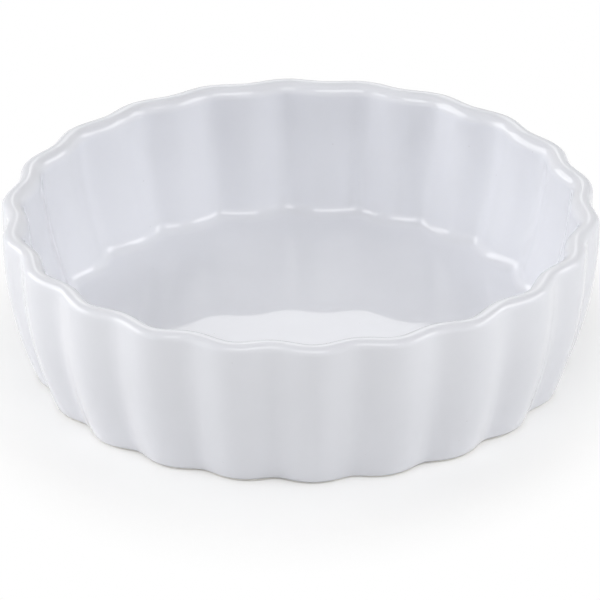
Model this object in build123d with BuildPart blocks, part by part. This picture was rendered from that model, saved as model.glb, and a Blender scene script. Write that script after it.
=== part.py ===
from build123d import *
from math import atan2, cos, hypot, pi, sin, sqrt
import os

# A round fluted quiche dish of glazed porcelain, fired in one piece.
# Millimetres, +Z up, the origin at the middle of the foot, on the surface it stands on.
# A crest of the flutes lies on the X axis.

# Driving dimensions of the glazed dish
rim_diameter = 140.0         # over the crests, at the lip
base_diameter = 125.0        # over the crests, where the wall would meet the ground
dish_height = 39.0
flute_count = 22
rim_flute_depth = 1.75       # crest to valley at the lip
base_flute_depth = 2.0       # crest to valley at the ground
belly = 2.2                  # how far the wall swells past a straight slope
rim_wall = 5.0
base_wall = 7.4
floor_thickness = 6.3        # from the recess below to the floor inside
floor_rounding = 3.6         # where the wall meets the floor inside
base_rounding = 1.2          # where the wall turns under

# The bare foot ring and the recess inside it
recess_diameter = 110.0
recess_depth = 1.2
foot_edge_rounding = 0.4

# The glaze
glaze_thickness = 0.35
bare_height = 0.6            # the glaze is wiped off up to here

# How the shape is cut and rounded
level_shares = (0.0, 0.5, 1.0)
outer_lip_share = 0.37       # radius of the lip's outer edge, of the wall there
inner_lip_share = 0.61       # and of its inner edge, which is rounder
cut_overrun = 4.0            # how far cuts run past the dish

floor_height = recess_depth + floor_thickness
half_flute = pi / flute_count


def wall_thickness(height):
    return base_wall + (rim_wall - base_wall) * height / dish_height


def flute_wave(height):
    """Half the depth of the flutes at a height."""
    return (base_flute_depth + (rim_flute_depth - base_flute_depth) * height / dish_height) / 2


def wall_radius(height):
    """Mean radius of the middle of the wall at a height."""
    share = height / dish_height
    rim_radius = (rim_diameter - rim_flute_depth - rim_wall) / 2
    base_radius = (base_diameter - base_flute_depth - base_wall) / 2
    return base_radius + (rim_radius - base_radius) * share + 4 * belly * share * (1 - share)


def turned(radius, angle):
    return (radius * cos(angle), radius * sin(angle))


def fluted_outline(height, shift):
    """The wall's middle line at a height, moved outward by shift: equal arcs, tangent in turn."""
    crest_radius = wall_radius(height) + flute_wave(height)
    valley_radius = wall_radius(height) - flute_wave(height)
    # Bend radius at which a crest's arc and the next valley's arc just meet
    square = 2 * (1 - cos(half_flute))
    linear = 2 * (crest_radius - valley_radius) * (1 + cos(half_flute))
    constant = crest_radius**2 + valley_radius**2 - 2 * crest_radius * valley_radius * cos(half_flute)
    bend = (sqrt(linear**2 + 4 * square * constant) - linear) / (2 * square)
    # The point where they meet, from the crest's centre towards the valley's
    crest_centre = crest_radius - bend
    valley_centre = turned(valley_radius + bend, half_flute)
    toward = ((valley_centre[0] - crest_centre) / (2 * bend), valley_centre[1] / (2 * bend))
    meeting = (crest_centre + (bend + shift) * toward[0], (bend + shift) * toward[1])
    meeting_radius = hypot(*meeting)
    meeting_angle = atan2(meeting[1], meeting[0])
    for flute in range(flute_count):
        crest = 2 * half_flute * flute
        start = turned(meeting_radius, crest - meeting_angle)
        middle = turned(meeting_radius, crest + meeting_angle)
        end = turned(meeting_radius, crest + 2 * half_flute - meeting_angle)
        ThreePointArc(start, turned(crest_radius + shift, crest), middle)
        ThreePointArc(middle, turned(valley_radius + shift, crest + half_flute), end)


def dish_shape(skin):
    """The dish without its recess, with every face but the ground face moved in by skin."""
    top = dish_height - skin
    floor = floor_height - skin
    with BuildPart() as dish:
        for share in level_shares:
            height = top * share
            with BuildSketch(Plane.XY.offset(height)):
                with BuildLine():
                    fluted_outline(height, wall_thickness(height) / 2 - skin)
                make_face()
        loft()
        ground_face = dish.faces().sort_by(Axis.Z)[0]
        fillet(ground_face.edges(), radius=base_rounding - skin)
        for share in level_shares:
            height = floor + (top + cut_overrun - floor) * share
            with BuildSketch(Plane.XY.offset(height)):
                with BuildLine():
                    fluted_outline(height, skin - wall_thickness(height) / 2)
                make_face()
        loft(mode=Mode.SUBTRACT)
        floor_face = dish.faces().filter_by(Plane.XY).sort_by(Axis.Z)[1]
        fillet(floor_face.edges(), radius=floor_rounding + skin)
        lip_face = dish.faces().filter_by(Plane.XY).sort_by(Axis.Z)[-1]
        fillet(lip_face.outer_wire().edges(), radius=outer_lip_share * rim_wall - skin)
        lip_face = dish.faces().filter_by(Plane.XY).sort_by(Axis.Z)[-1]
        fillet(lip_face.inner_wires()[0].edges(), radius=inner_lip_share * rim_wall - skin)
    return dish.part


bare_shape = dish_shape(glaze_thickness)
glazed_shape = dish_shape(0)

os.makedirs("parts", exist_ok=True)

# Porcelain body: the fired clay, bare on its foot ring
with BuildPart() as porcelain_body:
    add(bare_shape)
    with BuildSketch(Plane.XY):
        Circle(recess_diameter / 2)
    extrude(amount=recess_depth, mode=Mode.SUBTRACT)
    foot_face = porcelain_body.faces().sort_by(Axis.Z)[0]
    fillet(foot_face.inner_wires()[0].edges(), radius=foot_edge_rounding)
porcelain_body.part.label = "porcelain_body"
export_step(porcelain_body.part, "parts/porcelain_body.step")

# Glaze coat: one skin of glass over the wall outside, the lip and the whole inside
with BuildPart() as glaze_coat:
    add(glazed_shape)
    add(bare_shape, mode=Mode.SUBTRACT)
    with BuildSketch(Plane.XY):
        Circle(rim_diameter / 2 + cut_overrun)
    extrude(amount=bare_height, mode=Mode.SUBTRACT)
glaze_coat.part.label = "glaze_coat"
export_step(glaze_coat.part, "parts/glaze_coat.step")

# Underside glaze: the patch of glass inside the foot ring
with BuildPart() as underside_glaze:
    with BuildSketch(Plane.XY.offset(recess_depth - glaze_thickness)):
        Circle(recess_diameter / 2)
    extrude(amount=glaze_thickness)
underside_glaze.part.label = "underside_glaze"
export_step(underside_glaze.part, "parts/underside_glaze.step")
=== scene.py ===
import math

import bpy
import numpy as np
from mathutils import Matrix, Vector


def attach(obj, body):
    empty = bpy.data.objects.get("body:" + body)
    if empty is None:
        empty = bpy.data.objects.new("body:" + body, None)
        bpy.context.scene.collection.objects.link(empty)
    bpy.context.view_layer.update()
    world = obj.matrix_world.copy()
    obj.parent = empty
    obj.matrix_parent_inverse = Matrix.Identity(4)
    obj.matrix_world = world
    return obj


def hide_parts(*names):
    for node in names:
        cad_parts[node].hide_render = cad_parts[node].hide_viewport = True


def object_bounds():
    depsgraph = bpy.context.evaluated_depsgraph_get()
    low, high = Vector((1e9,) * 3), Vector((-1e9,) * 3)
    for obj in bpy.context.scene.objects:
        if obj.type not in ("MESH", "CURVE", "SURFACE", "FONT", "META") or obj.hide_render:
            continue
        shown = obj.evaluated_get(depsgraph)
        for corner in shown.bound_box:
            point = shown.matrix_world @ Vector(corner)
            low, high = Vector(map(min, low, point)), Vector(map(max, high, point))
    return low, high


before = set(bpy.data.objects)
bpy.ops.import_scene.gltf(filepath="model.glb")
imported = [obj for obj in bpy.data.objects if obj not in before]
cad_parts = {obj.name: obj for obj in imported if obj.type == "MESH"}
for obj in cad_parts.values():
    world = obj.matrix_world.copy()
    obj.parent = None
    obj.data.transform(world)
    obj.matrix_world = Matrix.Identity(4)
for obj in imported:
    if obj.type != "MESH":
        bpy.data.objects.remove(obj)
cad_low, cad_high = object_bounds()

# Sizes in metres. The dish is a fluted wall around a flat floor, standing on a bare foot ring.
MM = 0.001
RIM_RADIUS = 69.97 * MM           # over the crests, at the lip
BASE_RADIUS = 62.5 * MM           # over the crests, where the wall would meet the ground
DISH_HEIGHT = cad_high.z - cad_low.z
FLUTES = 22
RIM_WAVE = 0.875 * MM             # half the depth of the flutes at the lip
BASE_WAVE = 1.0 * MM              # and at the ground
BELLY = 2.2 * MM                  # how far the wall swells past a straight slope
RIM_WALL = 5.0 * MM
BASE_WALL = 7.4 * MM
OUTER_LIP_ROUNDING = 1.85 * MM
INNER_LIP_ROUNDING = 3.05 * MM
FLOOR_HEIGHT = 7.5 * MM
FLOOR_ROUNDING = 3.6 * MM
BASE_ROUNDING = 1.2 * MM
GLAZE = 0.35 * MM
GLAZE_END = 0.6 * MM              # the glaze is wiped off up to about here
LIP_DIP = 0.24 * MM               # the lip sinks this much from a valley to a crest
DIP_REACH = 6.0 * MM              # and the sink is gone this far below the lip
RECESS_RADIUS = 55.0 * MM
RECESS_DEPTH = 1.2 * MM

# How the fired glaze strays from its true shape
GLAZE_STRAY = 0.25 * MM           # how far its lower edge wanders up
STRAY_TOP = 2.2 * MM              # the wandering starts at this height
STRAY_FADE = 1.4 * MM             # and is full this far below
STRAY_WAVES = (7, 18, 5)          # counts of waves round the dish, mixed so that they look uneven
GLAZE_BEAD = 0.12 * MM            # how far the lower edge hangs down as a round bead
UNEVENNESS = 0.05 * MM            # how far the surface sinks inward at most
SWELL_SIZE = 28 * MM              # about the distance from swell to swell
SWELL_SPREAD = (0.6, 1.8)         # as shares of that distance
SWELL_WAVES = 12
SWELL_SEED = 4

# How finely the meshes are cut
SPOKES_PER_FLUTE = 64
SPOKES = FLUTES * SPOKES_PER_FLUTE
INSIDE_CUTS = (24, 56, 16)        # rings over the lip, the wall and the corner at its foot
OUTSIDE_CUTS = (14, 64, 16)
UNDER_INSIDE_CUTS = (8, 12, 8)    # the same on the hidden face of the glaze
UNDER_OUTSIDE_CUTS = (6, 12, 16)
FLOOR_CUTS = 28                   # over the flat floor
UNDER_FLOOR_CUTS = 4
POOL_SPOKE_STEP = 4               # the underside keeps every fourth spoke

spoke = np.arange(SPOKES) * (2 * math.pi / SPOKES)
spoke_cos, spoke_sin = np.cos(spoke), np.sin(spoke)


# The shape of the wall

ARC_TRIES = 4                     # the start of a rounding is found by closing in on it


def wall_share(height):
    return height / DISH_HEIGHT


def wall_thickness(height):
    return BASE_WALL + (RIM_WALL - BASE_WALL) * wall_share(height)


def wall_radius(height):
    """Mean radius of the middle of the wall."""
    share = wall_share(height)
    rim = RIM_RADIUS - RIM_WAVE - RIM_WALL / 2
    base = BASE_RADIUS - BASE_WAVE - BASE_WALL / 2
    return base + (rim - base) * share + 4 * BELLY * share * (1 - share)


def outer_radius(height, skin=0.0):
    return wall_radius(height) + wall_thickness(height) / 2 - skin


def inner_radius(height, skin=0.0):
    return wall_radius(height) - wall_thickness(height) / 2 + skin


def fluted(radius, height):
    """Points of one ring: the wall's wavy middle line, moved along its own normal to a mean radius."""
    wave = BASE_WAVE + (RIM_WAVE - BASE_WAVE) * wall_share(height)
    middle = wall_radius(height)
    reach = middle + wave * np.cos(FLUTES * spoke)
    slope = -wave * FLUTES * np.sin(FLUTES * spoke)
    length = np.hypot(reach, slope)
    shift = (radius - middle) / length
    x = reach * spoke_cos + shift * (reach * spoke_cos + slope * spoke_sin)
    y = reach * spoke_sin + shift * (reach * spoke_sin - slope * spoke_cos)
    near_lip = min(max((height - DISH_HEIGHT + DIP_REACH) / DIP_REACH, 0), 1)
    z = height - LIP_DIP * near_lip ** 2 * (1 + np.cos(FLUTES * spoke)) / 2
    return np.stack([x, y, z], 1)


def corner_arc(surface, level, radius, skin, count, side, rise):
    """Mean radius and height along an arc from a leaning wall to a flat at a level, and where it starts.

    side is 1 where the arc bulges away from the axis and -1 where it bulges towards it,
    rise is 1 where it bulges up and -1 where it bulges down.
    """
    step = 0.1 * MM
    touch = level - rise * radius
    for _ in range(ARC_TRIES):
        lean = math.atan((surface(touch + step, skin) - surface(touch, skin)) / step)
        start = -side * rise * lean
        touch = level - rise * radius * (1 - math.sin(start))
    centre = surface(touch, skin) - side * radius * math.cos(start)
    arc = []
    for angle in np.linspace(start, math.pi / 2, count):
        height = level - rise * radius * (1 - math.sin(angle))
        arc.append((centre + side * radius * math.cos(angle), height))
    return arc, touch


def inside_profile(skin, lip_count, wall_count, corner_count):
    """Mean radius and height from the top of the lip down the inner wall to the floor's edge."""
    lip, lip_touch = corner_arc(
        inner_radius, DISH_HEIGHT - skin, INNER_LIP_ROUNDING - skin, skin, lip_count, side=-1, rise=1
    )
    corner, touch = corner_arc(
        inner_radius, FLOOR_HEIGHT - skin, FLOOR_ROUNDING + skin, skin, corner_count, side=1, rise=-1
    )
    heights = np.linspace(lip_touch, touch, wall_count)[1:-1]
    wall = [(inner_radius(height, skin), height) for height in heights]
    return lip[::-1] + wall + corner


def outside_profile(skin, lip_count, wall_count, corner_count):
    """Mean radius and height from the top of the lip down the outer wall to the end of the glaze."""
    lip, lip_touch = corner_arc(
        outer_radius, DISH_HEIGHT - skin, OUTER_LIP_ROUNDING - skin, skin, lip_count, side=1, rise=1
    )
    corner, touch = corner_arc(
        outer_radius, 0, BASE_ROUNDING - skin, skin, corner_count, side=1, rise=-1
    )
    heights = np.linspace(lip_touch, touch, wall_count)[1:-1]
    wall = [(outer_radius(height, skin), height) for height in heights]
    return lip[::-1] + wall + [(radius, height) for radius, height in corner if height > GLAZE_END]


def floor_rings(edge, count):
    """Flat rings from just inside the floor's edge in towards its middle."""
    rings = []
    for share in np.linspace(1, 0, count + 1)[1:-1]:
        ring = edge * share
        ring[:, 2] = edge[:, 2]
        rings.append(ring)
    return rings


def ripple(points, size, seed):
    """A smooth unevenness from 0 to 1 over the points, about a given size from swell to swell."""
    chance = np.random.default_rng(seed)
    total = np.zeros(len(points))
    for _ in range(SWELL_WAVES):
        toward = chance.normal(size=3)
        toward /= np.linalg.norm(toward)
        pitch = size * chance.uniform(*SWELL_SPREAD)
        total += np.sin(points @ toward * (2 * math.pi / pitch) + chance.uniform(0, 2 * math.pi))
    return np.clip(0.5 + total / SWELL_WAVES, 0, 1)


def vertex_values(mesh, name):
    """A named value of every vertex of a mesh, one row each."""
    values = np.empty(len(mesh.vertices) * 3)
    mesh.vertices.foreach_get(name, values)
    return values.reshape(-1, 3)


def skin_mesh(name, rings, first_middle, last_middle):
    """A closed mesh through rings, ending in a fan at each end."""
    points = np.concatenate([np.array([first_middle]), *rings, np.array([last_middle])])
    index = 1 + np.arange(len(rings) * len(rings[0])).reshape(len(rings), -1)
    after = np.roll(index, -1, axis=1)
    quads = np.stack([index[:-1], index[1:], after[1:], after[:-1]], -1).reshape(-1, 4)
    last = len(points) - 1
    fans = [(0, int(a), int(b)) for a, b in zip(index[0], after[0])]
    fans += [(last, int(b), int(a)) for a, b in zip(index[-1], after[-1])]
    mesh = bpy.data.meshes.new(name)
    mesh.from_pydata(points.tolist(), [], quads.tolist() + fans)
    mesh.validate()
    mesh.shade_smooth()
    piece = bpy.data.objects.new(name, mesh)
    bpy.context.scene.collection.objects.link(piece)
    return piece


# Materials

GLAZE_COLOUR = (0.828, 0.838, 0.882, 1)
GLAZE_THIN_COLOUR = (0.848, 0.858, 0.902, 1)
SPECK_COLOUR = (0.45, 0.44, 0.43, 1)
SPECK_EDGE = 0.03                 # from a speck's middle, in cells of the speck pattern
SPECK_CORE = 0.012
SPECK_STRENGTH = 0.45
GLAZE_IOR = 1.52
BISQUE_COLOUR = (0.87, 0.86, 0.82, 1)
BISQUE_DARK_COLOUR = (0.81, 0.79, 0.74, 1)
GRAIN_DEPTH = 0.015 * MM
TABLE_COLOUR = (0.91, 0.91, 0.91, 1)
WHITE = (1, 1, 1, 1)
NOISE_LOW, NOISE_HIGH = 0.3, 0.7  # most of Blender's noise lies between these
MIX_COLOUR_A, MIX_COLOUR_B, MIX_COLOUR_RESULT = 6, 7, 2   # the sockets of a Mix node for colours


def new_material(name):
    material = bpy.data.materials.new(name)
    material.use_nodes = True
    nodes = material.node_tree.nodes
    return material, nodes, material.node_tree.links, nodes["Principled BSDF"]


def new_node(nodes, kind, **values):
    """A node with its inputs set by name, where an underscore stands for a space."""
    made = nodes.new(kind)
    for name, value in values.items():
        made.inputs[name.replace("_", " ")].default_value = value
    return made


def ranged(nodes, links, value, low, high, low_result, high_result, curve="LINEAR"):
    """A value carried from one range into another."""
    made = new_node(
        nodes, "ShaderNodeMapRange", From_Min=low, From_Max=high, To_Min=low_result, To_Max=high_result
    )
    made.interpolation_type = curve
    links.new(value, made.inputs["Value"])
    return made.outputs["Result"]


def noise(nodes, links, coords, scale, detail, low, high):
    """Noise over the coordinates, spread from low to high."""
    texture = new_node(nodes, "ShaderNodeTexNoise", Scale=scale, Detail=detail)
    links.new(coords, texture.inputs["Vector"])
    return ranged(nodes, links, texture.outputs["Fac"], NOISE_LOW, NOISE_HIGH, low, high)


def blend(nodes, links, factor, first, second):
    """A colour between two, each given as a colour or as a socket."""
    mix = nodes.new("ShaderNodeMix")
    mix.data_type = "RGBA"
    links.new(factor, mix.inputs["Factor"])
    for number, colour in ((MIX_COLOUR_A, first), (MIX_COLOUR_B, second)):
        if isinstance(colour, tuple):
            mix.inputs[number].default_value = colour
        else:
            links.new(colour, mix.inputs[number])
    return mix.outputs[MIX_COLOUR_RESULT]


def arithmetic(nodes, links, operation, first, second):
    """The result of one of Blender's sums over two sockets."""
    made = nodes.new("ShaderNodeMath")
    made.operation = operation
    links.new(first, made.inputs[0])
    links.new(second, made.inputs[1])
    return made.outputs[0]


def glaze_material():
    """White glaze: cloudy where it pooled, with a few fine specks and an uneven gloss."""
    material, nodes, links, shader = new_material("white_glaze")
    coords = nodes.new("ShaderNodeTexCoord").outputs["Object"]
    pooled = noise(nodes, links, coords, scale=60, detail=3, low=0, high=1)
    cloudy = blend(nodes, links, pooled, GLAZE_COLOUR, GLAZE_THIN_COLOUR)
    specks = new_node(nodes, "ShaderNodeTexVoronoi", Scale=180)
    links.new(coords, specks.inputs["Vector"])
    speck = ranged(nodes, links, specks.outputs["Distance"], SPECK_EDGE, SPECK_CORE, 0, SPECK_STRENGTH)
    colour = blend(nodes, links, speck, cloudy, SPECK_COLOUR)
    links.new(colour, shader.inputs["Base Color"])
    gloss = noise(nodes, links, coords, scale=90, detail=2, low=0.028, high=0.045)
    links.new(gloss, shader.inputs["Roughness"])
    shader.inputs["IOR"].default_value = GLAZE_IOR
    return material


def bisque_material():
    """Bare fired porcelain: cream, matt and finely grained."""
    material, nodes, links, shader = new_material("bare_porcelain")
    coords = nodes.new("ShaderNodeTexCoord").outputs["Object"]
    patches = noise(nodes, links, coords, scale=220, detail=4, low=0, high=1)
    colour = blend(nodes, links, patches, BISQUE_COLOUR, BISQUE_DARK_COLOUR)
    links.new(colour, shader.inputs["Base Color"])
    dullness = noise(nodes, links, coords, scale=400, detail=2, low=0.7, high=0.9)
    links.new(dullness, shader.inputs["Roughness"])
    grain = new_node(nodes, "ShaderNodeBump", Strength=1.0, Distance=GRAIN_DEPTH)
    grains = noise(nodes, links, coords, scale=2500, detail=3, low=0, high=1)
    links.new(grains, grain.inputs["Height"])
    links.new(grain.outputs["Normal"], shader.inputs["Normal"])
    return material


glaze = glaze_material()
bisque = bisque_material()

# Glaze coat: the glass skin over the wall, the lip and the inside
inner_rings = [fluted(*point) for point in inside_profile(0.0, *INSIDE_CUTS)]
inner_rings += floor_rings(inner_rings[-1], FLOOR_CUTS)
outer_rings = [fluted(*point) for point in outside_profile(0.0, *OUTSIDE_CUTS)]
under_inner = [fluted(*point) for point in inside_profile(GLAZE, *UNDER_INSIDE_CUTS)]
under_inner += floor_rings(under_inner[-1], UNDER_FLOOR_CUTS)
under_outer = [fluted(*point) for point in outside_profile(GLAZE, *UNDER_OUTSIDE_CUTS)]

# The lower edge wanders up by a share from 0 to 1 of its stray, and hangs down as a bead
slow, quick, changing = STRAY_WAVES
waves = np.sin(slow * spoke + 1) + np.sin(quick * spoke) * np.cos(changing * spoke + 2)
wander = GLAZE_STRAY * (2 + waves) / 4
for ring in outer_rings + under_outer:
    ring[:, 2] += wander * np.clip((STRAY_TOP - ring[:, 2]) / STRAY_FADE, 0, 1)
bead = outer_rings[-1] * 0.5 + under_outer[-1] * 0.5
bead[:, 2] -= GLAZE_BEAD
rings = inner_rings[::-1] + outer_rings + [bead] + under_outer[::-1] + under_inner
floor_middle = Vector((0, 0, FLOOR_HEIGHT))
glaze_coat = skin_mesh("glaze_coat_skin", rings, floor_middle, floor_middle - Vector((0, 0, GLAZE)))

# The fired surface sinks inward a little where it shows
points = vertex_values(glaze_coat.data, "co")
outward = vertex_values(glaze_coat.data, "normal")
shown_count = 1 + SPOKES * (len(inner_rings) + len(outer_rings) - 1)
stray = UNEVENNESS * ripple(points, SWELL_SIZE, SWELL_SEED)
stray[shown_count:] = 0
points -= outward * stray[:, None]
glaze_coat.data.vertices.foreach_set("co", points.ravel())
glaze_coat.data.update()
glaze_coat.data.materials.append(glaze)
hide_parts("glaze_coat")
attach(glaze_coat, "root")

# Underside glaze: a thin pool of glass in the recess, thicker where it meets the foot

# Each ring has its share of the recess's radius, and of the glaze below the roof of the recess
pool_top = [(share, 0) for share in (0.25, 0.5, 0.75, 0.95, 0.998)]
pool_edge = [(1, 0.15), (1, 1.3), (0.998, 1.5), (0.993, 1.33), (0.986, 1.15), (0.976, 1.04), (0.95, 1)]
pool_face = [(share, 1) for share in (0.75, 0.5, 0.25)]
pool_rings = []
for share, depth in pool_top + pool_edge + pool_face:
    radius = share * RECESS_RADIUS
    ring = [radius * spoke_cos, radius * spoke_sin, np.full(SPOKES, RECESS_DEPTH - depth * GLAZE)]
    pool_rings.append(np.stack(ring, 1)[::POOL_SPOKE_STEP])
roof_middle = Vector((0, 0, RECESS_DEPTH))
pool_middle = roof_middle - Vector((0, 0, GLAZE))
underside = skin_mesh("underside_glaze_pool", pool_rings, roof_middle, pool_middle)
underside.data.materials.append(glaze)
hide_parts("underside_glaze")
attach(underside, "root")

# Porcelain body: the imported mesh, seen only on the foot ring
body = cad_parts["porcelain_body"]
body.data.materials.clear()
body.data.materials.append(bisque)

# Stage

TABLE_HALF = 6.0
SHADE_REACH = 70 * MM             # nearer than this to the middle, the table keeps most of its shade
WHITE_REACH = 105 * MM            # and farther than this it is plain white
NEAR_WHITE = 0.4                  # the share of white near the dish
SIDE_STRETCH = 1.2                # the white comes nearer at the sides by this factor


def table_material():
    """A pale matt table. In view and in the gloss it turns plain white away from the dish."""
    material, nodes, links, shader = new_material("white_table")
    shader.inputs["Base Color"].default_value = TABLE_COLOUR
    shader.inputs["Roughness"].default_value = 0.6
    shader.inputs["Specular IOR Level"].default_value = 0.0
    spot = nodes.new("ShaderNodeNewGeometry").outputs["Position"]
    stretched = nodes.new("ShaderNodeVectorMath")
    stretched.operation = "MULTIPLY"
    stretched.inputs[1].default_value = (SIDE_STRETCH, 1, 1)
    links.new(spot, stretched.inputs[0])
    distance = nodes.new("ShaderNodeVectorMath")
    distance.operation = "LENGTH"
    links.new(stretched.outputs["Vector"], distance.inputs[0])
    far_out = ranged(
        nodes, links, distance.outputs["Value"], SHADE_REACH, WHITE_REACH, NEAR_WHITE, 1, "SMOOTHSTEP"
    )
    path = nodes.new("ShaderNodeLightPath").outputs
    seen = arithmetic(nodes, links, "MAXIMUM", path["Is Camera Ray"], path["Is Glossy Ray"])
    white = new_node(nodes, "ShaderNodeEmission", Color=WHITE, Strength=1.0)
    mixed = nodes.new("ShaderNodeMixShader")
    links.new(arithmetic(nodes, links, "MULTIPLY", seen, far_out), mixed.inputs[0])
    links.new(shader.outputs["BSDF"], mixed.inputs[1])
    links.new(white.outputs["Emission"], mixed.inputs[2])
    links.new(mixed.outputs["Shader"], nodes["Material Output"].inputs["Surface"])
    return material


corners = [(x * TABLE_HALF, y * TABLE_HALF, 0) for x, y in ((-1, -1), (1, -1), (1, 1), (-1, 1))]
table_mesh = bpy.data.meshes.new("table")
table_mesh.from_pydata(corners, [], [(0, 1, 2, 3)])
table = bpy.data.objects.new("table", table_mesh)
bpy.context.scene.collection.objects.link(table)
table.data.materials.append(table_material())

# Camera

CAMERA_AZIMUTH = 5.38             # degrees, so that the flutes stand as photographed
CAMERA_ELEVATION = 28.08
CAMERA_ROLL = 0.4
CAMERA_DISTANCE = 1.494
FOCAL_PIXELS = 6356.0
FRAME_PIXELS = 600.0
SENSOR_WIDTH = 36
AIM = (-0.1 * MM, 14.35 * MM)     # left of the middle, and above the table

elevation = math.radians(CAMERA_ELEVATION)
ahead = Vector((0, math.cos(elevation), -math.sin(elevation)))
right = Vector((1, 0, 0))
up = right.cross(ahead)
roll = math.radians(CAMERA_ROLL)
camera_x = right * math.cos(roll) - up * math.sin(roll)
camera_y = right * math.sin(roll) + up * math.cos(roll)
place = Vector((AIM[0], 0, AIM[1])) - ahead * CAMERA_DISTANCE
turn = Matrix.Rotation(math.radians(CAMERA_AZIMUTH), 4, "Z")
basis = Matrix((camera_x, camera_y, -ahead)).transposed().to_4x4()
camera = bpy.data.objects.new("camera", bpy.data.cameras.new("camera"))
bpy.context.scene.collection.objects.link(camera)
camera.matrix_world = turn @ Matrix.Translation(place) @ basis
camera.data.sensor_width = SENSOR_WIDTH
camera.data.lens = SENSOR_WIDTH * FOCAL_PIXELS / FRAME_PIXELS
bpy.context.scene.camera = camera

# Lights

LAMP_DISTANCE = 1.2

# Name, azimuth, elevation, width, height, radiance, and whether the gloss mirrors it
LAMPS = [
    ("front_box", 0, 53, 0.95, 0.5, 3.6, True),
    ("left_low_box", -94, 12, 0.8, 0.5, 2.2, False),
    ("left_high_box", -102, 30, 1.2, 0.7, 2.8, True),
    ("right_low_box", 88, 12, 0.9, 0.5, 1.7, False),
    ("right_high_box", 88, 34, 1.0, 0.5, 3.1, True),
    ("back_box", 180, 30, 0.2, 0.36, 1.2, True),
    ("front_left_fill", -45, 34, 0.6, 0.5, 1.4, False),
    ("front_right_fill", 45, 34, 0.6, 0.5, 1.25, False),
]


def softbox(name, azimuth, elevation, width, height, radiance, in_gloss):
    """A rectangular lamp that faces the dish. Azimuth 0 is behind the camera, 90 to its right."""
    bearing, rise = math.radians(azimuth + CAMERA_AZIMUTH), math.radians(elevation)
    across = math.cos(rise)
    away = Vector((math.sin(bearing) * across, -math.cos(bearing) * across, math.sin(rise)))
    lamp = bpy.data.lights.new(name, "AREA")
    lamp.shape = "RECTANGLE"
    lamp.size, lamp.size_y = width, height
    lamp.energy = radiance * math.pi * width * height
    softbox_object = bpy.data.objects.new(name, lamp)
    bpy.context.scene.collection.objects.link(softbox_object)
    softbox_object.location = Vector((0, 0, DISH_HEIGHT / 2)) + away * LAMP_DISTANCE
    softbox_object.rotation_mode = "QUATERNION"
    softbox_object.rotation_quaternion = away.to_track_quat("Z", "Y")
    softbox_object.visible_camera = False
    softbox_object.visible_glossy = in_gloss


for lamp_row in LAMPS:
    softbox(*lamp_row)

# World: white in view, and no light on matt surfaces. The gloss mirrors white low down, grey overhead

WORLD_IN_VIEW = 1.0
WORLD_ON_MATT = 0.0
WORLD_LOW = 1.0
WORLD_OVERHEAD = 0.4
LOW_UP_TO = 32                    # degrees above the horizon
OVERHEAD_FROM = 48

world = bpy.data.worlds.new("studio")
bpy.context.scene.world = world
world.use_nodes = True
nodes, links = world.node_tree.nodes, world.node_tree.links
background = nodes["Background"]
background.inputs["Color"].default_value = WHITE
split = nodes.new("ShaderNodeSeparateXYZ")
links.new(nodes.new("ShaderNodeTexCoord").outputs["Generated"], split.inputs[0])
low_edge, high_edge = math.sin(math.radians(LOW_UP_TO)), math.sin(math.radians(OVERHEAD_FROM))
height_tone = ranged(
    nodes, links, split.outputs["Z"], low_edge, high_edge, WORLD_LOW, WORLD_OVERHEAD, "SMOOTHSTEP"
)
path = nodes.new("ShaderNodeLightPath").outputs
in_gloss = arithmetic(nodes, links, "MAXIMUM", path["Is Glossy Ray"], path["Is Transmission Ray"])
matt_or_gloss = new_node(nodes, "ShaderNodeMix", A=WORLD_ON_MATT)
links.new(in_gloss, matt_or_gloss.inputs["Factor"])
links.new(height_tone, matt_or_gloss.inputs["B"])
strength = new_node(nodes, "ShaderNodeMix", B=WORLD_IN_VIEW)
links.new(path["Is Camera Ray"], strength.inputs["Factor"])
links.new(matt_or_gloss.outputs["Result"], strength.inputs["A"])
links.new(strength.outputs["Result"], background.inputs["Strength"])

bpy.context.scene.view_settings.view_transform = "Standard"
